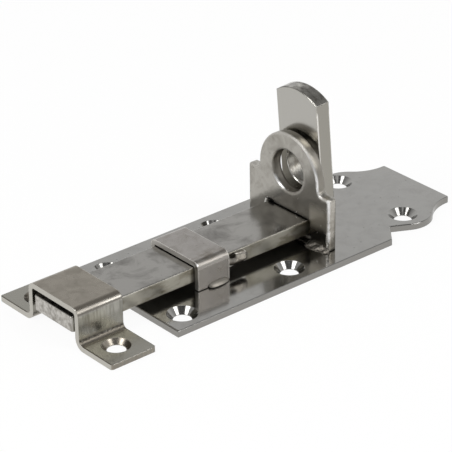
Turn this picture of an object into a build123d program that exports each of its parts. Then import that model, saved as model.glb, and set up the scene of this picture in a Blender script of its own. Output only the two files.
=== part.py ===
from build123d import *
import math
import os

os.makedirs("parts", exist_ok=True)

# Padbolt, closed. Millimetres. The origin is the middle of the base plate's plain front
# edge, on the mounting surface. +X runs along the bolt towards the ornamental end, +Z is up.

# Base plate
plate_length = 142.3
plate_width = 60.0
plate_thickness = 2.5
plate_straight_length = 101.9
plate_edge_round = 0.4
tip_round = 0.8

# Shaped end of the base plate, as distances along it and out from its own middle line
notch_point = (108.4, 21.0)
lobe_start_point = (115.5, 24.8)
lobe_top_point = (122.1, 26.1)
lobe_end_point = (128.8, 22.9)
sweep_point = (135.4, 18.8)
tip_half_width = 17.9
shaped_end_off_centre = 1.2

# Screw holes, countersunk for flat-headed screws
screw_hole_diameter = 6.7
countersink_angle = 90.0
countersink_land = 0.2
front_hole_x = 9.0
middle_hole_x = 59.0
rear_hole_x = 119.0
wide_hole_y = 21.25
rear_hole_y = 18.0

# Sliding bolt: a flat bar bent up at its end into a handle that leans over the lug plate
bolt_width = 22.0
bolt_thickness = 6.0
bolt_nose_x = -31.0
bolt_lift = 3.0
bolt_edge_round = 0.4
nose_corner_round = 1.2
bolt_bend_radius = 3.0
handle_lean = 4.5
handle_side_height = 44.3
handle_crown_rise = 3.5
handle_hole_diameter = 15.0

# Guide strap, bent over the bolt and welded down at its feet
guide_front_x = 23.0
guide_length = 14.4
guide_thickness = 2.0
guide_side_clearance = 0.35
guide_top_clearance = 0.4
guide_bend_radius = 0.8
guide_weld_radius = 1.9
guide_weld_front_inset = 4.6
guide_weld_rear_inset = 0.6

# Lug plate, standing across the base plate
lug_front_x = 77.2
lug_thickness = 4.0
lug_foot_half_width = 22.0
lug_shoulder_height = 20.9
lug_shoulder_round = 1.0
lug_half_width = 16.0
lug_neck_height = 3.0
lug_root_round = 2.5
lug_hole_diameter = 16.5
lug_hole_height = 25.1
lug_edge_round = 0.8
hole_edge_bevel = 0.3
window_side_clearance = 1.3
window_top_clearance = 0.5
window_bottom_clearance = 0.3
window_corner_round = 1.6
lug_weld_radius = 2.3
lug_weld_outer_inset = 0.8
lug_weld_web_overlap = 1.0

# Play between the lug plate's top and the leaning handle when the bolt is closed
closed_gap = 1.1

# Travel stop, a bead on the near side of the bolt
stop_length = 9.6
stop_height = 5.0
stop_depth = 2.0
stop_gap = 0.4
stop_corner_round = 2.0
stop_edge_round = 1.2

# Keeper, a bent strip that stands by itself over the bolt's nose
keeper_nose_inset = 0.2
keeper_length = 19.3
keeper_thickness = 2.0
keeper_side_clearance = 1.2
keeper_top_clearance = 2.0
keeper_bend_radius = 1.0
keeper_foot_bend_radius = 2.0
keeper_foot_length = 18.0
keeper_hole_to_wall = 8.3
keeper_corner_round = 1.0

# Worked out from the sizes above
half_width = plate_width / 2
half_bolt = bolt_width / 2
bolt_bottom = plate_thickness + bolt_lift
bolt_top = bolt_bottom + bolt_thickness
lug_rear_x = lug_front_x + lug_thickness
lug_shoulder_z = plate_thickness + lug_shoulder_height
lug_arc_z = lug_shoulder_z + lug_neck_height
lug_top_z = lug_arc_z + lug_half_width
lug_hole_z = plate_thickness + lug_hole_height
lean = math.radians(handle_lean)
handle_foot_x = lug_rear_x + closed_gap + (lug_top_z - bolt_top) * math.tan(lean)
handle_hole_up = (lug_hole_z - bolt_top) / math.cos(lean)
handle_top_up = handle_side_height + handle_crown_rise
crown_cut_up = handle_top_up + handle_crown_rise
guide_inner_half = half_bolt + guide_side_clearance
guide_outer_half = guide_inner_half + guide_thickness
guide_roof = bolt_top + guide_top_clearance
guide_rear_x = guide_front_x + guide_length
window_half_width = half_bolt + window_side_clearance
window_bottom = bolt_bottom - window_bottom_clearance
window_top = bolt_top + window_top_clearance
stop_middle_x = guide_rear_x + stop_gap + stop_length / 2
stop_middle_z = bolt_bottom + bolt_thickness / 2
keeper_front_x = bolt_nose_x + keeper_nose_inset
keeper_middle_x = keeper_front_x + keeper_length / 2
keeper_inner_half = half_bolt + keeper_side_clearance
keeper_outer_half = keeper_inner_half + keeper_thickness
keeper_roof = bolt_top + keeper_top_clearance
keeper_foot_end = keeper_outer_half + keeper_foot_length
keeper_hole_y = keeper_outer_half + keeper_hole_to_wall


def countersink_mouth(sheet_thickness):
    depth = sheet_thickness - countersink_land
    return screw_hole_diameter / 2 + depth * math.tan(math.radians(countersink_angle / 2))


def end_point(point, side):
    return (point[0], side * point[1] - shaped_end_off_centre)


# Base plate. Behind each long edge the outline steps in to a notch, swells in a lobe and
# then sweeps in to the tip.
with BuildPart() as base_plate:
    with BuildSketch():
        with BuildLine():
            for side in (1, -1):
                Polyline(
                    (0, side * half_width),
                    (plate_straight_length, side * half_width),
                    end_point(notch_point, side),
                    end_point(lobe_start_point, side),
                )
                ThreePointArc(
                    end_point(lobe_start_point, side),
                    end_point(lobe_top_point, side),
                    end_point(lobe_end_point, side),
                )
                ThreePointArc(
                    end_point(lobe_end_point, side),
                    end_point(sweep_point, side),
                    end_point((plate_length, tip_half_width), side),
                )
            Line((0, half_width), (0, -half_width))
            Line(
                end_point((plate_length, tip_half_width), 1),
                end_point((plate_length, tip_half_width), -1),
            )
        make_face()
    extrude(amount=plate_thickness)
    fillet(base_plate.edges().filter_by(Axis.Z).group_by(Axis.X)[-1], tip_round)
    fillet(base_plate.faces().sort_by(Axis.Z)[-1].edges(), plate_edge_round)
    with Locations(Plane.XY.offset(plate_thickness)):
        with Locations(
            (front_hole_x, wide_hole_y),
            (front_hole_x, -wide_hole_y),
            (middle_hole_x, wide_hole_y),
            (middle_hole_x, -wide_hole_y),
            (rear_hole_x, rear_hole_y),
            (rear_hole_x, -rear_hole_y),
        ):
            CounterSinkHole(
                screw_hole_diameter / 2,
                countersink_mouth(plate_thickness),
                counter_sink_angle=countersink_angle,
            )
base_plate.part.label = "base_plate"

# Guide strap: the line is its inner face, seen along the bolt
with BuildPart() as guide_strap:
    with BuildSketch(Plane.YZ.offset(guide_front_x)):
        with BuildLine():
            FilletPolyline(
                (-guide_inner_half, plate_thickness),
                (-guide_inner_half, guide_roof),
                (guide_inner_half, guide_roof),
                (guide_inner_half, plate_thickness),
                radius=guide_bend_radius,
            )
            offset(amount=guide_thickness, side=Side.LEFT)
        make_face()
    extrude(amount=guide_length)
guide_strap.part.label = "guide_strap"

# Weld beads at the strap's feet: quarter round, thinning out at both ends
guide_weld_front_x = guide_front_x + guide_weld_front_inset
guide_weld_rear_x = guide_rear_x - guide_weld_rear_inset
guide_weld_middle_x = (guide_weld_front_x + guide_weld_rear_x) / 2

with BuildPart() as guide_weld_far:
    with BuildSketch(Plane.XY.offset(plate_thickness)):
        with BuildLine():
            Line((guide_weld_front_x, guide_outer_half), (guide_weld_rear_x, guide_outer_half))
            ThreePointArc(
                (guide_weld_rear_x, guide_outer_half),
                (guide_weld_middle_x, guide_outer_half + guide_weld_radius),
                (guide_weld_front_x, guide_outer_half),
            )
        make_face()
    revolve(axis=Axis((0, guide_outer_half, plate_thickness), (1, 0, 0)), revolution_arc=90)
guide_weld_far.part.label = "guide_weld_far"

with BuildPart() as guide_weld_near:
    mirror(guide_weld_far.part, about=Plane.XZ)
guide_weld_near.part.label = "guide_weld_near"

# Lug plate: shoulders, a round-topped lug with the padlock hole, and a window for the bolt.
# Its far half is drawn and mirrored; in this sketch the first axis runs across the plate.
lug_arc_middle = (
    lug_half_width * math.cos(math.radians(45)),
    lug_arc_z + lug_half_width * math.sin(math.radians(45)),
)
lug_top = (0, lug_arc_z + lug_half_width)

with BuildPart() as lug_plate:
    with BuildSketch(Plane.YZ.offset(lug_front_x)) as lug_outline:
        with BuildLine():
            Polyline(
                (0, plate_thickness),
                (lug_foot_half_width, plate_thickness),
                (lug_foot_half_width, lug_shoulder_z),
                (lug_half_width, lug_shoulder_z),
                (lug_half_width, lug_arc_z),
            )
            ThreePointArc((lug_half_width, lug_arc_z), lug_arc_middle, lug_top)
            Line(lug_top, (0, plate_thickness))
        make_face()
        corners = lug_outline.vertices()
        fillet(corners.sort_by_distance((lug_foot_half_width, lug_shoulder_z))[0], lug_shoulder_round)
        corners = lug_outline.vertices()
        fillet(corners.sort_by_distance((lug_half_width, lug_shoulder_z))[0], lug_root_round)
        mirror(about=Plane.YZ)
    extrude(amount=lug_thickness)
    lug_faces = lug_plate.faces().filter_by(Axis.X)
    fillet(
        lug_faces.edges().filter_by(lambda edge: edge.center().Z > plate_thickness + lug_edge_round),
        lug_edge_round,
    )
    with BuildSketch(Plane.YZ.offset(lug_front_x)) as window:
        with Locations((0, (window_bottom + window_top) / 2)):
            Rectangle(2 * window_half_width, window_top - window_bottom)
        fillet(window.vertices().group_by(Axis.Y)[-1], window_corner_round)
        with Locations((0, lug_hole_z)):
            Circle(lug_hole_diameter / 2)
    extrude(amount=lug_thickness, mode=Mode.SUBTRACT)
    hole_rims = lug_plate.edges().filter_by(GeomType.CIRCLE).filter_by(
        lambda edge: abs(edge.radius - lug_hole_diameter / 2) < 0.001
    )
    chamfer(hole_rims, hole_edge_bevel)
lug_plate.part.label = "lug_plate"

# Weld beads in front of the lug plate's two legs
lug_weld_inner_y = window_half_width - lug_weld_web_overlap
lug_weld_outer_y = lug_foot_half_width - lug_weld_outer_inset
lug_weld_middle_y = (lug_weld_inner_y + lug_weld_outer_y) / 2

with BuildPart() as lug_weld_far:
    with BuildSketch(Plane.XY.offset(plate_thickness)):
        with BuildLine():
            Line((lug_front_x, lug_weld_inner_y), (lug_front_x, lug_weld_outer_y))
            ThreePointArc(
                (lug_front_x, lug_weld_outer_y),
                (lug_front_x - lug_weld_radius, lug_weld_middle_y),
                (lug_front_x, lug_weld_inner_y),
            )
        make_face()
    revolve(axis=Axis((lug_front_x, 0, plate_thickness), (0, 1, 0)), revolution_arc=90)
lug_weld_far.part.label = "lug_weld_far"

with BuildPart() as lug_weld_near:
    mirror(lug_weld_far.part, about=Plane.XZ)
lug_weld_near.part.label = "lug_weld_near"

# Bolt: the line is the bar's top and then the handle's front, seen from the near side
handle_end = (
    handle_foot_x - handle_top_up * math.sin(lean),
    bolt_top + handle_top_up * math.cos(lean),
)
handle_face = Plane(
    origin=(handle_foot_x, 0, bolt_top),
    x_dir=(0, 1, 0),
    z_dir=(math.cos(lean), 0, math.sin(lean)),
)

with BuildPart() as bolt:
    with BuildSketch(Plane.XZ.offset(-half_bolt)):
        with BuildLine():
            FilletPolyline(
                (bolt_nose_x, bolt_top),
                (handle_foot_x, bolt_top),
                handle_end,
                radius=bolt_bend_radius,
            )
            offset(amount=bolt_thickness, side=Side.RIGHT)
        make_face()
    extrude(amount=bolt_width)
    fillet(bolt.edges().filter_by(Axis.Z).group_by(Axis.X)[0], nose_corner_round)
    with BuildSketch(handle_face):
        with BuildLine():
            Polyline(
                (-half_bolt, handle_side_height),
                (-half_bolt, crown_cut_up),
                (half_bolt, crown_cut_up),
                (half_bolt, handle_side_height),
            )
            ThreePointArc(
                (half_bolt, handle_side_height),
                (0, handle_top_up),
                (-half_bolt, handle_side_height),
            )
        make_face()
    extrude(amount=bolt_thickness, mode=Mode.SUBTRACT)
    bar_rims = bolt.edges().filter_by(Axis.X)
    crown_rims = bolt.edges().sort_by(Axis.Z)[-2:]
    fillet(bar_rims + crown_rims, bolt_edge_round)
    with BuildSketch(handle_face):
        with Locations((0, handle_hole_up)):
            Circle(handle_hole_diameter / 2)
    extrude(amount=bolt_thickness, mode=Mode.SUBTRACT)
    hole_rims = bolt.edges().filter_by(GeomType.CIRCLE).filter_by(
        lambda edge: abs(edge.radius - handle_hole_diameter / 2) < 0.001
    )
    chamfer(hole_rims, hole_edge_bevel)
bolt.part.label = "bolt"

# Travel stop on the bolt's near side: it meets the guide strap when the bolt is closed and
# the lug plate's near leg when it is open
with BuildPart() as travel_stop:
    with BuildSketch(Plane.XZ.offset(half_bolt)):
        with Locations((stop_middle_x, stop_middle_z)):
            RectangleRounded(stop_length, stop_height, stop_corner_round)
    extrude(amount=stop_depth)
    fillet(travel_stop.faces().sort_by(Axis.Y)[0].edges(), stop_edge_round)
travel_stop.part.label = "travel_stop"

# Keeper: the line is the strip's lower and inner face, seen along the bolt
with BuildPart() as keeper:
    with BuildSketch(Plane.YZ.offset(keeper_front_x)):
        with BuildLine():
            FilletPolyline(
                (-keeper_foot_end, 0),
                (-keeper_inner_half, 0),
                (-keeper_inner_half, keeper_roof),
                (keeper_inner_half, keeper_roof),
                (keeper_inner_half, 0),
                (keeper_foot_end, 0),
                radius=[
                    keeper_foot_bend_radius + keeper_thickness,
                    keeper_bend_radius,
                    keeper_bend_radius,
                    keeper_foot_bend_radius + keeper_thickness,
                ],
            )
            offset(amount=keeper_thickness, side=Side.LEFT)
        make_face()
    extrude(amount=keeper_length)
    foot_corners = keeper.edges().filter_by(Axis.Z).group_by(Axis.Y)
    fillet(foot_corners[0] + foot_corners[-1], keeper_corner_round)
    with Locations(Plane.XY.offset(keeper_thickness)):
        with Locations((keeper_middle_x, keeper_hole_y), (keeper_middle_x, -keeper_hole_y)):
            CounterSinkHole(
                screw_hole_diameter / 2,
                countersink_mouth(keeper_thickness),
                counter_sink_angle=countersink_angle,
            )
keeper.part.label = "keeper"

export_step(base_plate.part, "parts/base_plate.step")
export_step(guide_strap.part, "parts/guide_strap.step")
export_step(guide_weld_near.part, "parts/guide_weld_near.step")
export_step(guide_weld_far.part, "parts/guide_weld_far.step")
export_step(lug_plate.part, "parts/lug_plate.step")
export_step(lug_weld_near.part, "parts/lug_weld_near.step")
export_step(lug_weld_far.part, "parts/lug_weld_far.step")
export_step(bolt.part, "parts/bolt.step")
export_step(travel_stop.part, "parts/travel_stop.step")
export_step(keeper.part, "parts/keeper.step")
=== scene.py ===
import math
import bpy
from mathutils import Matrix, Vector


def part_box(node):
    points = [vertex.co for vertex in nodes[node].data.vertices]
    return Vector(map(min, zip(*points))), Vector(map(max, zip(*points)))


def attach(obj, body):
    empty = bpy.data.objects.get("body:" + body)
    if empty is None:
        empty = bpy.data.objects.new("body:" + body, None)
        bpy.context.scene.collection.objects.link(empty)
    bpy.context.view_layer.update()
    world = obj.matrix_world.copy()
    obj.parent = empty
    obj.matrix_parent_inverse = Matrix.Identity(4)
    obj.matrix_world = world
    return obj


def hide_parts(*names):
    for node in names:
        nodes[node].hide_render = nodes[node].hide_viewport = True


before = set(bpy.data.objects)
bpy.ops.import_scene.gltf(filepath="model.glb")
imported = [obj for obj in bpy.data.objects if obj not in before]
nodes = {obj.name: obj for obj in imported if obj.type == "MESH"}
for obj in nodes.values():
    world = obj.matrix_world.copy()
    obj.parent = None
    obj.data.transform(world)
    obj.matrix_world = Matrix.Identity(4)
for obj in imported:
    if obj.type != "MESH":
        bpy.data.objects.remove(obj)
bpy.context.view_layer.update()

from types import SimpleNamespace

import bmesh
import bpy
from mathutils import Matrix, Vector, noise


def hexToLinear(hexText):
    values = [int(hexText[i:i + 2], 16) / 255 for i in (1, 3, 5)]
    return [v / 12.92 if v <= 0.04045 else ((v + 0.055) / 1.055) ** 2.4 for v in values] + [1.0]


def perMetre(millimetres):
    return 1000.0 / millimetres


def addNode(tree, kind, settings=None, links=None):
    # settings: attribute or input to its value; links: input to the output socket it takes
    node = tree.nodes.new(kind)
    for name, value in (settings or {}).items():
        if isinstance(name, int) or name in node.inputs:
            node.inputs[name].default_value = value
        else:
            setattr(node, name, value)
    for name, socket in (links or {}).items():
        tree.links.new(socket, node.inputs[name])
    return node


def newMaterial(name):
    material = bpy.data.materials.new(name)
    material.use_nodes = True
    material.node_tree.nodes.clear()
    return material, material.node_tree


# Mask from one part of a vector: 0 at start and 1 at full; an axis such as |X| is taken either way
def ramp(vector, axis, start, full):
    tree = vector.id_data
    value = addNode(tree, "ShaderNodeSeparateXYZ", None, {0: vector}).outputs[axis.strip("|")]
    if "|" in axis:
        value = addNode(tree, "ShaderNodeMath", {"operation": "ABSOLUTE"}, {0: value}).outputs[0]
    return addNode(tree, "ShaderNodeMapRange", {"From Min": start, "From Max": full},
                   {"Value": value}).outputs[0]


# Mask along an axis of the part, in millimetres
def along(steel, axis, start, full):
    return ramp(steel.place, axis, start / 1000, full / 1000)


# Mask from the way that the surface faces, 1 or -1 being straight along the axis
def facing(steel, axis, start, full):
    return ramp(steel.normal, axis, start, full)


# The same from the bevel's normal, which turns within the edge radius of an edge
def rounding(steel, axis, start, full):
    return ramp(steel.edge, axis, start, full)


# The sharp edges themselves, where a highlight is painted
def edges(steel):
    return steel.edgeMask


# Mask broken up by a noise of that grain in millimetres, stretched by run
def patches(steel, grain, start, full, run=(1, 1, 1)):
    stretched = addNode(steel.tree, "ShaderNodeMapping", {"Scale": run}, {"Vector": steel.place})
    cloud = addNode(steel.tree, "ShaderNodeTexNoise",
                    {"Scale": perMetre(grain), "Detail": 5.0, "Roughness": 0.6},
                    {"Vector": stretched.outputs[0]})
    return addNode(steel.tree, "ShaderNodeMapRange", {"From Min": start, "From Max": full},
                   {"Value": cloud.outputs["Fac"]}).outputs[0]


# 1 round a place in millimetres, falling to 0 over the last 0.3; a 0 in use leaves an axis out
def within(steel, middle, use, radius):
    moved = addNode(steel.tree, "ShaderNodeVectorMath",
                    {"operation": "ADD", 1: [-value / 1000 for value in middle]}, {0: steel.place})
    kept = addNode(steel.tree, "ShaderNodeVectorMath", {"operation": "MULTIPLY", 1: use},
                   {0: moved.outputs[0]})
    reach = addNode(steel.tree, "ShaderNodeVectorMath", {"operation": "LENGTH"}, {0: kept.outputs[0]})
    return addNode(steel.tree, "ShaderNodeMapRange",
                   {"From Min": radius / 1000, "From Max": (radius - 0.3) / 1000},
                   {"Value": reach.outputs["Value"]}).outputs[0]


def outside(steel, middle, use, radius):
    return addNode(steel.tree, "ShaderNodeMath", {"operation": "SUBTRACT", 0: 1.0},
                   {1: within(steel, middle, use, radius)}).outputs[0]


# Another state of the same steel where all its masks are 1, such as a sawn end or a rubbed line
def addFinish(steel, name, hexText, roughness, *masks):
    whole = None
    for mask in masks:
        if mask not in steel.made:  # masks that several finishes use are made once
            steel.made[mask] = mask[0](steel, *mask[1:])
        if whole is None:
            whole = steel.made[mask]
        else:
            whole = addNode(steel.tree, "ShaderNodeMath", {"operation": "MULTIPLY"},
                            {0: whole, 1: steel.made[mask]}).outputs[0]
    base, rough = steel.shader.inputs["Base Color"], steel.shader.inputs["Roughness"]
    newBase = addNode(steel.tree, "ShaderNodeMix",
                      {"label": name, "data_type": "RGBA", 7: hexToLinear(hexText)},
                      {0: whole, 6: base.links[0].from_socket})
    newRough = addNode(steel.tree, "ShaderNodeMix",
                       {"label": name, "data_type": "FLOAT", 3: roughness},
                       {0: whole, 2: rough.links[0].from_socket})
    steel.tree.links.new(newBase.outputs[2], base)
    steel.tree.links.new(newRough.outputs[0], rough)


# What every steel piece starts from, in millimetres and shares. Each piece adds its finishes: a
# colour, a roughness, and masks, each written as the function that makes it with its values.
# Later finishes lie over earlier ones.
steelLook = {
    "stainShare": 0.4, "pit": "#5a5855", "pitShare": 0.6, "pitSpacing": 3.6,
    "edgeHighlightSteel": "#c9c7c3", "edgeShine": 0.3,
    "lineSpacing": 0.2, "lineRun": (0.018, 1.0, 1.0), "lineDepth": 0.001,
    "waveSize": 9.0, "waveDepth": 0.02, "smudgeSize": 5.0,
}


# Stainless steel, grade 304, cut from sheet and flat bar, ground along one way and then buffed on
# a wheel. It mirrors what is round it, a little wavy, with faint grinding lines that blur the
# mirror across their run, wiped smudges and small grit marks, and a highlight painted along its edges.
def polishedSteel(name, look):
    material, tree = newMaterial(name)
    coords = addNode(tree, "ShaderNodeTexCoord")
    place = coords.outputs["Object"]

    # grinding lines: really about 0.05 mm apart, drawn four times as coarse so that they show
    alongLines = addNode(tree, "ShaderNodeMapping", {"Scale": look["lineRun"]}, {"Vector": place})
    lines = addNode(tree, "ShaderNodeTexNoise",
                    {"Scale": perMetre(look["lineSpacing"]), "Detail": 3.0, "Roughness": 0.6},
                    {"Vector": alongLines.outputs[0]})
    # waves that the buffing wheel leaves
    waves = addNode(tree, "ShaderNodeTexNoise",
                    {"Scale": perMetre(look["waveSize"]), "Detail": 1.0, "Roughness": 0.4},
                    {"Vector": place})
    # smudges of handling and dried polish
    smudges = addNode(tree, "ShaderNodeTexNoise",
                      {"Scale": perMetre(look["smudgeSize"]), "Detail": 6.0, "Roughness": 0.65,
                       "Distortion": 0.6}, {"Vector": place})
    smudgeMask = addNode(tree, "ShaderNodeMapRange",
                         {"From Min": 0.45, "From Max": 0.72, "To Max": look["stainShare"]},
                         {"Value": smudges.outputs["Fac"]})
    # grit marks, a tenth of their spacing wide
    pits = addNode(tree, "ShaderNodeTexVoronoi", {"Scale": perMetre(look["pitSpacing"])},
                   {"Vector": place})
    pitMask = addNode(tree, "ShaderNodeMapRange",
                      {"From Min": 0.05, "From Max": 0.1, "To Min": look["pitShare"], "To Max": 0.0},
                      {"Value": pits.outputs["Distance"]})

    stained = addNode(tree, "ShaderNodeMix",
                      {"data_type": "RGBA", 6: hexToLinear(look["steel"]),
                       7: hexToLinear(look["stained"])}, {0: smudgeMask.outputs[0]})
    pitted = addNode(tree, "ShaderNodeMix",
                     {"data_type": "RGBA", 7: hexToLinear(look["pit"])},
                     {0: pitMask.outputs[0], 6: stained.outputs[2]})

    # the bevel rounds sharp edges for the light, and shows where they are; a highlight is painted there
    edge = addNode(tree, "ShaderNodeBevel", {"samples": 6, "Radius": look["edgeRadius"] / 1000})
    face = addNode(tree, "ShaderNodeNewGeometry")
    turn = addNode(tree, "ShaderNodeVectorMath", {"operation": "DOT_PRODUCT"},
                   {0: edge.outputs[0], 1: face.outputs["Normal"]})
    edgeMask = addNode(tree, "ShaderNodeMapRange",
                       {"From Min": 0.98, "From Max": 0.8, "To Min": 0.0, "To Max": look["edgeShine"]},
                       {"Value": turn.outputs["Value"]})
    shining = addNode(tree, "ShaderNodeMix",
                      {"data_type": "RGBA", 7: hexToLinear(look["edgeHighlightSteel"])},
                      {0: edgeMask.outputs[0], 6: pitted.outputs[2]})

    rough = addNode(tree, "ShaderNodeMapRange",
                    {"From Min": 0.3, "From Max": 0.75, "To Min": look["roughness"],
                     "To Max": look["roughness"] + look["roughSpread"]},
                    {"Value": smudges.outputs["Fac"]})
    waveBump = addNode(tree, "ShaderNodeBump", {"Distance": look["waveDepth"] / 1000},
                       {"Height": waves.outputs["Fac"], "Normal": edge.outputs[0]})
    lineBump = addNode(tree, "ShaderNodeBump", {"Distance": look["lineDepth"] / 1000},
                       {"Height": lines.outputs["Fac"], "Normal": waveBump.outputs[0]})

    shader = addNode(tree, "ShaderNodeBsdfPrincipled", {"Metallic": 1.0},
                     {"Base Color": shining.outputs[2], "Roughness": rough.outputs[0],
                      "Normal": lineBump.outputs[0]})
    addNode(tree, "ShaderNodeOutputMaterial", None, {"Surface": shader.outputs[0]})

    steel = SimpleNamespace(
        tree=tree, shader=shader, place=place, normal=coords.outputs["Normal"], made={},
        edge=edge.outputs[0], edgeMask=edgeMask.outputs[0], pointiness=face.outputs["Pointiness"])
    for finish, values in look["finishes"].items():
        addFinish(steel, finish, *values)
    return material


def dress(name, material):
    for slot in nodes[name].material_slots:
        slot.material = material


# Base plate: cut from sheet, the most evenly polished piece
plateLook = dict(
    steelLook, steel="#989794", stained="#878582", edgeRadius=0.25,
    roughness=0.10, roughSpread=0.07,
    finishes={
        # the rim was ground but not buffed
        "rim": ("#8d8b87", 0.24, (facing, "|Z|", 0.5, 0.3)),
        # the shears rolled the front edge over a little; its dark reflection is painted as a line
        "frontLine": ("#5f5a50", 0.4, (along, "X", 0.7, 0.3), (facing, "Z", 0.8, 0.95)),
    },
)
dress("base_plate", polishedSteel("polishedStainlessPlate", plateLook))
print("base plate dressed")

# Guide strap: strip ground across the bolt's way before it was bent
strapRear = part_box("guide_strap")[1].x * 1000
strapLook = dict(
    steelLook, steel="#9a9692", stained="#7d7870", stainShare=0.6,
    edgeHighlightSteel="#e6e3de", edgeShine=0.9, edgeRadius=0.45,
    lineRun=(1.0, 0.03, 0.03), lineDepth=0.003, roughness=0.2, roughSpread=0.1,
    finishes={
        "sheared": ("#cbc8c2", 0.42, (facing, "|X|", 0.7, 0.9)),
        "bend": ("#9c9892", 0.34, (along, "Z", 10.8, 12.0), (along, "Y", -10.8, -12.0)),
        # painted highlight along the strip's edges
        "edge": ("#e6e3de", 0.45, (edges,)),
        # painted highlight along the near rear edge
        "rearEdgeHighlight": ("#d4d1cb", 0.6, (along, "X", strapRear - 0.4, strapRear - 0.2),
                     (along, "Y", -10.5, -11.5)),
        # painted highlight on the near front corner of the bend
        "cornerHighlight": ("#ffffff", 0.3, (within, (23.0, -12.6, 13.1), (1, 1, 1), 0.8)),
        "rubbed": ("#6f675c", 0.3, (along, "Y", -6.0, -9.5), (along, "Z", 12.5, 13.4),
                   (patches, 3.0, 0.42, 0.66, (0.5, 1, 1))),
        # painted shade in the gap under the foot where it isn't welded
        "gap": ("#2a2826", 0.5, (along, "Z", 2.9, 2.7)),
    },
)
dress("guide_strap", polishedSteel("groundStainlessStrip", strapLook))
print("guide strap dressed")


# Drops of weld spatter: start and full are shares of their spacing
def drops(steel, spacing, start, full):
    spots = addNode(steel.tree, "ShaderNodeTexVoronoi", {"Scale": perMetre(spacing)},
                    {"Vector": steel.place})
    return addNode(steel.tree, "ShaderNodeMapRange", {"From Min": start, "From Max": full},
                   {"Value": spots.outputs["Distance"]}).outputs[0]


# The lug plate's bore, round an axis along X, and a ring that much wider
lugBore = {"middle": (0, 0, 27.6), "use": (0, 1, 1), "radius": 8.35}


def lugRing(mask, wider):
    return mask, lugBore["middle"], lugBore["use"], lugBore["radius"] + wider


# Lug plate: plate with well rounded, buffed edges
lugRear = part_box("lug_plate")[1].x * 1000
lugLook = dict(
    steelLook, steel="#a6a39c", stained="#86827a", stainShare=0.8, edgeShine=0.0, edgeRadius=1.8,
    lineRun=(1.0, 1.0, 0.03), roughness=0.16, roughSpread=0.1,
    finishes={
        "rim": ("#8b877f", 0.3, (facing, "|X|", 0.4, 0.2), (along, "Z", 23.6, 25.0)),
        # painted light on the near side face of the leg
        "litLegSide": ("#b4b0a8", 0.28, (facing, "Y", -0.8, -0.95), (along, "Z", 24.0, 22.0)),
        "holeEdge": ("#8a867e", 0.32, lugRing(within, 1.0), (rounding, "X", -0.98, -0.90)),
        # rounded edges: neither the flat faces, whose normal runs along X, nor the rim's middle
        "upperRound": ("#b9b6b0", 0.5, (rounding, "X", -0.20, -0.45), (rounding, "X", -0.99, -0.93),
                       (rounding, "Z", 0.15, 0.45), lugRing(outside, 1.5)),
        # painted highlight along the near rounded edges
        "nearRoundHighlight": ("#ffffff", 0.26, (rounding, "X", -0.35, -0.60), (rounding, "X", -0.96, -0.88),
                      (rounding, "Y", -0.02, -0.25), (rounding, "Z", 0.55, 0.25),
                      lugRing(outside, 1.5)),
        # painted highlight down the near leg's rounded edge
        "legRoundHighlight": ("#ffffff", 0.3, (rounding, "X", -0.15, -0.40), (rounding, "X", -0.985, -0.93),
                     (rounding, "Y", -0.1, -0.3), (along, "Z", 24.0, 22.5)),
        # heat of welding browned the near leg, and left spatter on it
        "browned": ("#807b72", 0.25, (along, "Z", 24.0, 10.0), (along, "Y", 6.0, -4.0),
                    (patches, 6.0, 0.35, 0.6)),
        # painted highlight on the front face along the window's near edge
        "windowEdgeHighlight": ("#c0bbb0", 0.4, (facing, "X", -0.9, -0.98), (along, "Y", -11.2, -12.5),
                    (along, "Z", 8.5, 11.5), (along, "Z", 20.0, 16.0)),
        # spatter that the weld left on the near leg
        "spatter": ("#f4f2ee", 0.3, (along, "Z", 24.0, 20.0), (drops, 3.0, 0.12, 0.07)),
        # the bore was drilled and not polished: rough, with dark patches, and painted dark for the shade
        # inside it
        "bore": ("#57524a", 0.4, lugRing(within, 0.0), (patches, 1.6, 0.4, 0.62, (1, 0.6, 0.6))),
        # painted shade on the bore's rear edge, darkening a bright reflection there
        "boreRearShade": ("#57524a", 0.6, lugRing(within, 1.2), (along, "X", lugRear - 1.0, lugRear - 0.6)),
        # painted shade in the window's far corner and along the feet where they meet the plate
        "corner": ("#1c1a18", 0.5, (within, (0, 9.4, 12.2), (0, 0.4, 1), 0.9)),
        "footShade": ("#1c1a18", 0.5, (along, "Z", 3.0, 2.7)),
    },
)
dress("lug_plate", polishedSteel("polishedStainlessLug", lugLook))
print("lug plate dressed")

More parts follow.
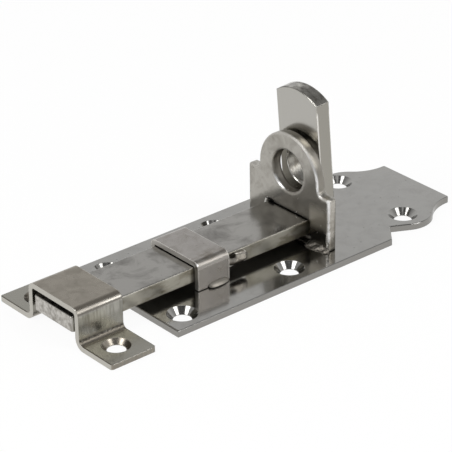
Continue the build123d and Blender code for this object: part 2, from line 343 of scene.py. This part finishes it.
# Bolt: flat bar, its top scuffed by the keeper, its sides left satin and slightly browned
handle = (along, "Z", 11.8, 15.0)
eitherSide = (facing, "|Y|", 0.7, 0.9)
barSide = (eitherSide, (along, "Z", 15.0, 11.8))
sawnEnd = ((along, "X", -30.0, -30.9), (facing, "|X|", 0.6, 0.85))
stopFront, stopRear = [corner.x * 1000 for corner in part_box("travel_stop")]
besideStop = (*barSide, (along, "X", stopFront - 0.8, stopFront), (along, "X", stopRear, stopRear - 1.2))
boltLook = dict(
    steelLook, steel="#95938f", stained="#5b5854", stainShare=0.8, smudgeSize=10.0, pitSpacing=2.6,
    edgeHighlightSteel="#dcdad5", edgeShine=0.5, edgeRadius=0.8, roughness=0.15, roughSpread=0.12,
    finishes={
        "handle": ("#adaba5", 0.18, handle),
        "handleSide": ("#98958d", 0.24, handle, eitherSide),
        # painted highlight along the handle's near rounded edges
        "handleRoundHighlight": ("#eceae5", 0.16, handle, (rounding, "|X|", 0.15, 0.4),
                        (rounding, "|X|", 0.985, 0.9), (rounding, "Y", -0.05, -0.25),
                        (along, "Z", 53.5, 52.0)),
        # the handle's bore: rough as drilled, with dark patches, and painted dark for the shade inside
        # it
        "bore": ("#6b665d", 0.4, (within, (0, 0, 27.6), (0, 1, 1), 7.65),
                 (patches, 1.6, 0.42, 0.62, (1, 0.6, 0.6))),
        "side": ("#a6a399", 0.36, *barSide),
        "sideBrown": ("#7d786b", 0.34, *barSide, (patches, 4.0, 0.45, 0.62, (0.4, 1, 1))),
        "sawn": ("#c6c3bd", 0.45, *sawnEnd),
        # rubbed along its way by the keeper
        "underKeeper": ("#a19e97", 0.4, (along, "X", -11.0, -19.0), (facing, "Z", 0.6, 0.8),
                        (patches, 2.5, 0.25, 0.60, (0.15, 1, 1))),
        "sawnDark": ("#8f8b84", 0.4, *sawnEnd, (patches, 1.8, 0.4, 0.65)),
        # painted shade below the travel stop, where it undercuts the bar, and a painted highlight on the
        # bar's lower edge there
        "shadeUnderStop": ("#1d1b19", 0.5, *besideStop, (along, "Z", 7.6, 7.2), (along, "Z", 6.2, 6.5)),
        "stopLineHighlight": ("#f4f2ed", 0.6, *besideStop, (along, "Z", 6.5, 6.2)),
        # the underside was left as rolled: dull, with no mirror, and painted lighter to lift its dark
        # reflection in the plate
        "underside": ("#d0cdc6", 0.6, (facing, "Z", -0.8, -0.95), (along, "Z", 9.0, 8.0)),
        "crown": ("#5d5a55", 0.45, (along, "Z", 53.5, 55.0), (facing, "Z", 0.4, 0.6),
                  (patches, 3.5, 0.40, 0.62, (1, 0.5, 1))),
    },
)
dress("bolt", polishedSteel("polishedStainlessBar", boltLook))
print("bolt dressed")


# Ragged line at one height, in millimetres: a noise moves it by up to depth
def pressLine(steel, grain, depth, height, width):
    ragged = addNode(steel.tree, "ShaderNodeTexNoise", {"Scale": perMetre(grain), "Detail": 4.0},
                     {"Vector": steel.place})
    parts = addNode(steel.tree, "ShaderNodeSeparateXYZ", None, {0: steel.place})
    wander = addNode(steel.tree, "ShaderNodeMath", {"operation": "MULTIPLY_ADD", 1: depth / 1000},
                     {0: ragged.outputs["Fac"], 2: parts.outputs["Z"]})
    return addNode(steel.tree, "ShaderNodeMath",
                   {"operation": "COMPARE", 1: height / 1000, 2: width / 1000},
                   {0: wander.outputs[0]}).outputs[0]


# Keeper: bent strip, only wiped over on the wheel, so it stays satin and a little brown
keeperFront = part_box("keeper")[0].x * 1000
footTop = ((along, "Z", 2.4, 2.1), (facing, "Z", 0.8, 0.95), (along, "|Y|", 15.5, 17.0))
footBend = ((along, "Z", 5.6, 3.6), (along, "Z", 2.0, 2.6), (along, "|Y|", 20.0, 18.0))
wall = ((facing, "|Y|", 0.6, 0.9), (along, "Z", 3.4, 5.0))
topBend = ((along, "Z", 12.8, 13.4), (along, "|Y|", 12.8, 13.3))
keeperLook = dict(
    steelLook, steel="#918b81", stained="#756f64", stainShare=0.6,
    edgeHighlightSteel="#e6e3dc", edgeShine=0.9, edgeRadius=0.4,
    lineRun=(1.0, 0.03, 0.03), lineDepth=0.004, roughness=0.24, roughSpread=0.1,
    finishes={
        "foot": ("#94928a", 0.26, *footTop),
        # the shears rolled the edge over; its dark reflection is painted as a line
        "frontLine": ("#5b564d", 0.4, *footTop, (along, "X", keeperFront + 0.7, keeperFront + 0.3)),
        # painted shade in the far countersink, in patches
        "farSink": ("#4c473f", 0.4, (within, (-21.15, 22.5, 0), (1, 1, 0), 5.6),
                    (facing, "Z", 0.9, 0.8), (patches, 3.0, 0.40, 0.55)),
        # painted shade in the hollow of each foot's bend, dimming its highlight
        "footBend": ("#6f6a61", 0.4, *footBend),
        # the press left one ragged line along the inside of each foot's bend
        "scuffed": ("#4b4741", 0.5, *footBend, (pressLine, 0.7, 1.6, 4.0, 0.3)),
        "wall": ("#8d8b83", 0.26, *wall),
        # painted sheen along the upper wall
        "wallTopSheen": ("#a8a69e", 0.34, *wall, (along, "Z", 8.4, 10.2)),
        "streaked": ("#807e76", 0.3, (facing, "|Y|", 0.8, 0.95),
                     (patches, 0.8, 0.42, 0.66, (1, 0.1, 0.1))),
        "bend": ("#938f88", 0.17, *topBend),
        # painted shade dimming the highlight on the front of the bend
        "bendShade": ("#7f7b74", 0.3, *topBend, (along, "X", -17.0, -23.0)),
        "sheared": ("#bbb8b0", 0.42, (facing, "|X|", 0.7, 0.9)),
    },
)
dress("keeper", polishedSteel("buffedStainlessStrip", keeperLook))
print("keeper dressed")


# Hollows between the lumps of a mesh, where shade is painted
def creases(steel, start, full):
    return addNode(steel.tree, "ShaderNodeMapRange", {"From Min": start, "From Max": full},
                   {"Value": steel.pointiness}).outputs[0]


# Thin lines that loop over the weld, where a noise passes its middle level
def slagLines(steel, size, width):
    slag = addNode(steel.tree, "ShaderNodeTexNoise",
                   {"Scale": perMetre(size), "Detail": 1.0, "Distortion": 1.2},
                   {"Vector": steel.place})
    return addNode(steel.tree, "ShaderNodeMath", {"operation": "COMPARE", 1: 0.5, 2: width},
                   {0: slag.outputs["Fac"]}).outputs[0]


# Welds: run by hand and knocked down on the wheel, lumpy, blued and browned, with shade painted between
# the ripples
atLug = (along, "X", 70.0, 70.5)
weldLook = dict(
    steelLook, steel="#918d86", stained="#615c53", stainShare=0.8, edgeShine=0.0, edgeRadius=0.1,
    waveSize=1.4, waveDepth=0.06, smudgeSize=1.3, roughness=0.24, roughSpread=0.15,
    finishes={
        # painted shade in the hollows between the lumps
        "crease": ("#2b2823", 0.4, (creases, 0.49, 0.44)),
        # painted shade in the crater where the stop's weld was ended, and painted highlights on the
        # steel round it
        "crater": ("#2b2823", 0.5, (within, (40.3, -12.5, 10.3), (1, 0.3, 1), 1.5)),
        "ending": ("#f4f2ed", 0.45, (along, "X", 46.6, 47.3), (along, "X", 50.0, 49.0)),
        "tip": ("#f4f2ed", 0.45, (within, (46.4, -12.5, 10.9), (1, 0.3, 1), 1.0)),
        # painted shade on the lower part of the stop's bead
        "under": ("#26221c", 0.4, (along, "Z", 8.0, 7.0), (along, "Z", 5.0, 5.5)),
        "lugBead": ("#75716a", 0.5, atLug),
        "slag": ("#2b2823", 0.45, (slagLines, 1.8, 0.035), atLug),
    },
)
weldSteel = polishedSteel("wheelDressedWeld", weldLook)

# The strap's beads were buffed flush with it; shade is painted as a dark line along the toe
beadLook = dict(
    steelLook, steel="#827e77", stained="#7d7870", stainShare=0.6, edgeShine=0.0, edgeRadius=0.2,
    lineRun=(1.0, 0.03, 0.03), lineDepth=0.003, roughness=0.38, roughSpread=0.1,
    finishes={"toe": ("#2a2826", 0.5, (along, "Z", 2.9, 2.7))},
)
beadSteel = polishedSteel("buffedWeld", beadLook)

# reaches, in millimetres: out at the start and at the end, and up
beadShape = {
    "along": 56, "round": 18,  # mesh steps
    "rippleDepth": 0.45, "rippleLean": 0.12, "ripplePower": 0.7,
    "lumpDepth": 0.25, "lumpSize": 1.1, "lumpTurn": 1.0,
    "guide": {"reaches": (1.9, 1.9, 1.9), "blunt": 0.28, "ripples": 1.0, "flatness": 0.6, "rough": 0.12},
    "lug": {"reaches": (4.2, 1.8, 1.8), "blunt": 0.3, "ripples": 2.4, "flatness": 0.5, "rough": 0.8},
    "lugOverrun": 1.8,
}


def turnOutward(mesh):
    work = bmesh.new()
    work.from_mesh(mesh)
    bmesh.ops.remove_doubles(work, verts=work.verts, dist=0.00001)
    bmesh.ops.recalc_face_normals(work, faces=work.faces)
    work.to_mesh(mesh)
    work.free()
    mesh.shade_smooth()


# A bead in the corner between two faces. It runs from start along run, reaches out over one face
# and up over the other, and is closed along the corner itself.
def makeBead(name, node, steel, start, run, out, form):
    start, run, out, up = Vector(start), Vector(run), Vector(out), Vector((0, 0, 1))
    steps, turns = beadShape["along"], beadShape["round"]
    outStart, outEnd, high = [reach / 1000 for reach in form["reaches"]]
    points, faces = [], []
    for i in range(steps + 1):
        t = i / steps
        swell = max(4 * t * (1 - t), 0.0) ** form["blunt"]
        for j in range(turns + 1):
            angle = math.pi / 2 * j / turns
            chamfer = 1 / (math.cos(angle) + math.sin(angle))  # flat face between the two toes
            shape = 1 - form["flatness"] + form["flatness"] * chamfer
            middle = math.sin(2 * angle)
            here = start + run * t
            phase = form["ripples"] * (t + beadShape["rippleLean"] * math.cos(angle))
            ripple = abs(math.sin(math.pi * phase)) ** beadShape["ripplePower"]
            turned = here + out * angle * beadShape["lumpTurn"] / 1000
            lump = 0.5 + 0.5 * noise.noise(turned * perMetre(beadShape["lumpSize"]))
            loss = beadShape["rippleDepth"] * (1 - ripple) + beadShape["lumpDepth"] * lump
            size = swell * shape * (1 - form["rough"] * loss * min(1.0, 2 * middle))
            wide = outStart + (outEnd - outStart) * t
            points.append(here + (out * math.cos(angle) * wide + up * math.sin(angle) * high) * size)
        points.append(start + run * t)
    ring = turns + 2
    for i in range(steps):
        for j in range(ring):
            k = (j + 1) % ring
            faces.append((i * ring + j, i * ring + k, (i + 1) * ring + k, (i + 1) * ring + j))
    mesh = bpy.data.meshes.new(name)
    mesh.from_pydata(points, [], faces)
    turnOutward(mesh)
    bead = bpy.data.objects.new(name, mesh)
    bpy.context.scene.collection.objects.link(bead)
    mesh.materials.append(steel)
    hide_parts(node)
    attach(bead, "base")


for side, sideName in ((-1, "near"), (1, "far")):
    low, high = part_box("guide_weld_" + sideName)
    inner = low.y if side > 0 else high.y
    makeBead("guideBead_" + sideName, "guide_weld_" + sideName, beadSteel, (low.x, inner, low.z),
             (high.x - low.x, 0, 0), (0, side, 0), beadShape["guide"])
    low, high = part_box("lug_weld_" + sideName)
    outer = low.y if side < 0 else high.y
    inner = high.y if side < 0 else low.y
    across = outer - inner + side * beadShape["lugOverrun"] / 1000
    makeBead("lugBead_" + sideName, "lug_weld_" + sideName, weldSteel, (high.x, inner, low.z),
             (0, across, 0), (-1, 0, 0), beadShape["lug"])

stopShape = {
    "around": 64, "rings": 26,  # mesh steps
    "square": 2.6, "spread": 0.35, "dome": 0.8,  # powers of its outline, its side and its top
    "lean": 0.3, "middleHeight": 0.62, "lumpDepth": 0.3, "lumpSize": 2.6,
    "pitPlace": (-0.62, 0.35), "pitStretch": 0.6, "pitSize": 0.3, "pitDepth": 0.85,
}


# Travel stop: a puddle of weld on the bar's side, higher at its rear end, with a crater
def makeStop():
    low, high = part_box("travel_stop")
    middle, half = (low + high) / 2, (high - low) / 2
    depth = high.y - low.y
    points, faces = [Vector((middle.x, high.y, middle.z))], []
    rings, around = stopShape["rings"], stopShape["around"]
    power = 2 / stopShape["square"]
    lean, pit = stopShape["lean"], stopShape["pitPlace"]
    for i in range(rings + 1):
        rise = i / rings  # 0 at the foot on the bar's side, 1 in the middle of the top
        spread = math.cos(rise * math.pi / 2) ** stopShape["spread"]
        dome = math.sin(rise * math.pi / 2) ** stopShape["dome"]
        for j in range(around):
            angle = 2 * math.pi * j / around
            c, s = math.cos(angle), math.sin(angle)
            u = spread * math.copysign(abs(c) ** power, c)
            w = spread * math.copysign(abs(s) ** power, s)
            height = depth * dome * (1 - lean + lean * u)
            lump = noise.noise(Vector((u * half.x, 0, w * half.z)) * perMetre(stopShape["lumpSize"]))
            height *= 1 - stopShape["lumpDepth"] * (0.5 + 0.5 * lump)
            away = math.hypot(u - pit[0], (w - pit[1]) * stopShape["pitStretch"])
            height *= 1 - stopShape["pitDepth"] * math.exp(-(away / stopShape["pitSize"]) ** 2)
            points.append(Vector((middle.x + u * half.x, high.y - height, middle.z + w * half.z)))
    top = len(points)
    points.append(Vector((middle.x, high.y - depth * stopShape["middleHeight"], middle.z)))
    for j in range(around):
        k = (j + 1) % around
        faces.append((0, 1 + j, 1 + k))
        for i in range(rings):
            a, b = 1 + i * around, 1 + (i + 1) * around
            faces.append((a + j, b + j, b + k, a + k))
        faces.append((1 + rings * around + j, top, 1 + rings * around + k))
    mesh = bpy.data.meshes.new("stopBead")
    mesh.from_pydata(points, [], faces)
    turnOutward(mesh)
    stop = bpy.data.objects.new("stopBead", mesh)
    bpy.context.scene.collection.objects.link(stop)
    mesh.materials.append(weldSteel)
    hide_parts("travel_stop")
    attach(stop, "sliding_bolt")


makeStop()
print("welds made")

# Room: pale floor, a plain studio tent and soft boxes
room = {
    "floor": "#fafaf9", "floorSize": 6.0, "floorWhite": 0.92,
    "tent": 0.97, "tentTop": 0.3, "tentFade": (0.45, 0.8),
    "openSide": (-0.64, -0.77, 0), "openLevel": 0.4, "openFade": (0.0, 0.5),
    "boxSize": (0.5, 0.9), "boxTarget": (0.05, 0, 0),
    "boxes": {"Left": ((-0.95, 0.1, 1.0), 9), "Right": ((0.5, -1.0, 0.9), 7),
              "Top": ((0.0, -0.15, 1.3), 1.2)},  # place and watts
}


def makeFloor():
    mesh = bpy.data.meshes.new("floor")
    half = room["floorSize"] / 2
    mesh.from_pydata([(-half, -half, 0), (half, -half, 0), (half, half, 0), (-half, half, 0)],
                     [], [(0, 1, 2, 3)])
    floor = bpy.data.objects.new("floor", mesh)
    bpy.context.scene.collection.objects.link(floor)
    material, tree = newMaterial("paleFloor")
    paint = addNode(tree, "ShaderNodeBsdfDiffuse", {"Color": hexToLinear(room["floor"])})
    glow = addNode(tree, "ShaderNodeEmission", {"Color": (1, 1, 1, 1), "Strength": 1.0})
    path = addNode(tree, "ShaderNodeLightPath")
    seen = addNode(tree, "ShaderNodeMath", {"operation": "MAXIMUM"},
                   {0: path.outputs["Is Camera Ray"], 1: path.outputs["Is Glossy Ray"]})
    seenAll = addNode(tree, "ShaderNodeMath", {"operation": "MAXIMUM"},
                      {0: seen.outputs[0], 1: path.outputs["Is Transmission Ray"]})
    share = addNode(tree, "ShaderNodeMath", {"operation": "MULTIPLY", 1: room["floorWhite"]},
                    {0: seenAll.outputs[0]})
    mixed = addNode(tree, "ShaderNodeMixShader", None,
                    {0: share.outputs[0], 1: paint.outputs[0], 2: glow.outputs[0]})
    addNode(tree, "ShaderNodeOutputMaterial", None, {"Surface": mixed.outputs[0]})
    mesh.materials.append(material)


def makeTent():
    world = bpy.data.worlds.new("studioTent")
    bpy.context.scene.world = world
    world.use_nodes = True
    tree = world.node_tree
    tree.nodes.clear()
    way = addNode(tree, "ShaderNodeTexCoord").outputs["Generated"]
    parts = addNode(tree, "ShaderNodeSeparateXYZ", None, {0: way})
    height = addNode(tree, "ShaderNodeMapRange",
                     {"From Min": room["tentFade"][0], "From Max": room["tentFade"][1],
                      "To Min": room["tent"], "To Max": room["tentTop"]},
                     {"Value": parts.outputs["Z"]})
    # the tent's open side, where the room is darker
    openSide = addNode(tree, "ShaderNodeVectorMath",
                       {"operation": "DOT_PRODUCT", 1: room["openSide"]}, {0: way})
    front = addNode(tree, "ShaderNodeMapRange",
                    {"From Min": room["openFade"][0], "From Max": room["openFade"][1],
                     "To Min": 1.0, "To Max": room["openLevel"]},
                    {"Value": openSide.outputs["Value"]})
    level = addNode(tree, "ShaderNodeMath", {"operation": "MULTIPLY"},
                    {0: height.outputs[0], 1: front.outputs[0]})
    back = addNode(tree, "ShaderNodeBackground", {"Color": (1, 1, 1, 1)},
                   {"Strength": level.outputs[0]})
    addNode(tree, "ShaderNodeOutputWorld", None, {"Surface": back.outputs[0]})


def addSoftBox(name, place, power):
    data = bpy.data.lights.new(name, "AREA")
    data.shape = "RECTANGLE"
    data.size, data.size_y = room["boxSize"]
    data.energy = power
    light = bpy.data.objects.new(name, data)
    light.location = place
    aim = Vector(room["boxTarget"]) - Vector(place)
    light.rotation_euler = aim.to_track_quat("-Z", "Y").to_euler()
    bpy.context.scene.collection.objects.link(light)


makeFloor()
makeTent()
for boxName, (boxPlace, boxPower) in room["boxes"].items():
    addSoftBox("softBox" + boxName, boxPlace, boxPower)
print("room done")

# Camera at the photograph's viewing angle, fitted to the part's outline
view = {
    "place": (-0.44195, -0.58446, 0.41417),
    "right": (0.76519, -0.64363, -0.01482),
    "up": (0.31018, 0.34841, 0.88454),
    "lens": 189.48, "shiftX": 0.0250, "shiftY": 0.0156,
}
cameraData = bpy.data.cameras.new("camera")
cameraData.sensor_width = 36
cameraData.lens = view["lens"]
cameraData.shift_x = view["shiftX"]
cameraData.shift_y = view["shiftY"]
camera = bpy.data.objects.new("camera", cameraData)
right, up = Vector(view["right"]).normalized(), Vector(view["up"]).normalized()
turn = Matrix((right, up, right.cross(up))).transposed()
camera.matrix_world = Matrix.Translation(view["place"]) @ turn.to_4x4()
bpy.context.scene.collection.objects.link(camera)
bpy.context.scene.camera = camera
bpy.context.scene.view_settings.view_transform = "Standard"
print("camera done")
